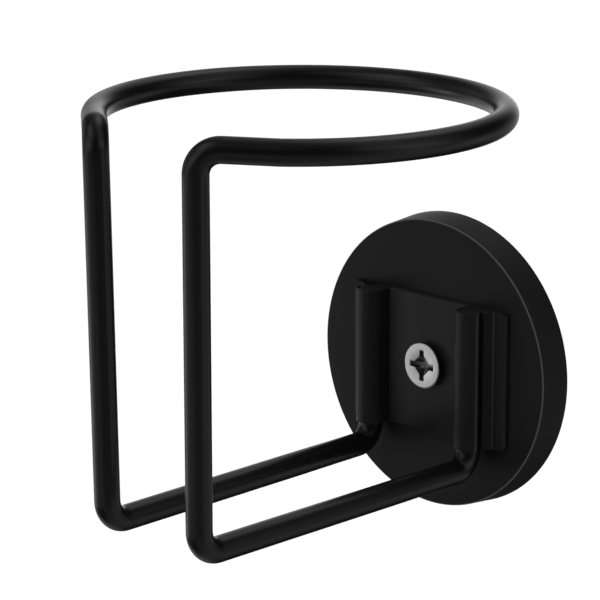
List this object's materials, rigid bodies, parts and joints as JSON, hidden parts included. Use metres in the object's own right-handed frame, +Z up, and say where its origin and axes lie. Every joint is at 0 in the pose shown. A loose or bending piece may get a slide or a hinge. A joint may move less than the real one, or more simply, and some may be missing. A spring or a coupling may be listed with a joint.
{
  "type": "wall-mounted hair dryer holder",
  "caption": "Open wire ring on bent wire legs and arms, its posts held in the channels of a bracket that screws to a round adhesive wall base.",
  "frame": {"origin": "centre of the base's back, on the wall plane", "axes": "+Y into the wall, +X to the right seen from the front, +Z up"},
  "size_m": [0.0874, 0.0919, 0.0953],
  "materials": {
    "wire_coat": "satin black powder coat",
    "bracket_coat": "satin black anodised and coated extrusion",
    "screw_plate": "bright zinc plate",
    "base_coat": "fine matt black powder coat",
    "core_plastic": "moulded, matt",
    "nut_plate": "yellow zinc plate",
    "pad_foam": "closed-cell acrylic foam, slightly tacky"
  },
  "bodies": {
    "base": {"base_cover": "base_coat", "base_core": "core_plastic", "captive_nut": "nut_plate", "adhesive_pad": "pad_foam"},
    "bracket": {"channel_bracket": "bracket_coat"},
    "screw": {"bracket_screw": "screw_plate"},
    "frame": {"wire_frame": "wire_coat"}
  },
  "joints": [
    {"name": "bracket_swivel", "type": "hinge", "parent": "base", "child": "bracket", "pos_m": [0, -0.0079, 0], "axis": [0, 1, 0], "continuous": true},
    {"name": "screw_turn", "type": "hinge", "parent": "base", "child": "screw", "pos_m": [0, -0.0079, 0], "axis": [0, 1, 0], "continuous": true},
    {"name": "frame_slide", "type": "slide", "parent": "bracket", "child": "frame", "axis": [0, 0, -1], "range_m": [0, 0.0255]}
  ]
}
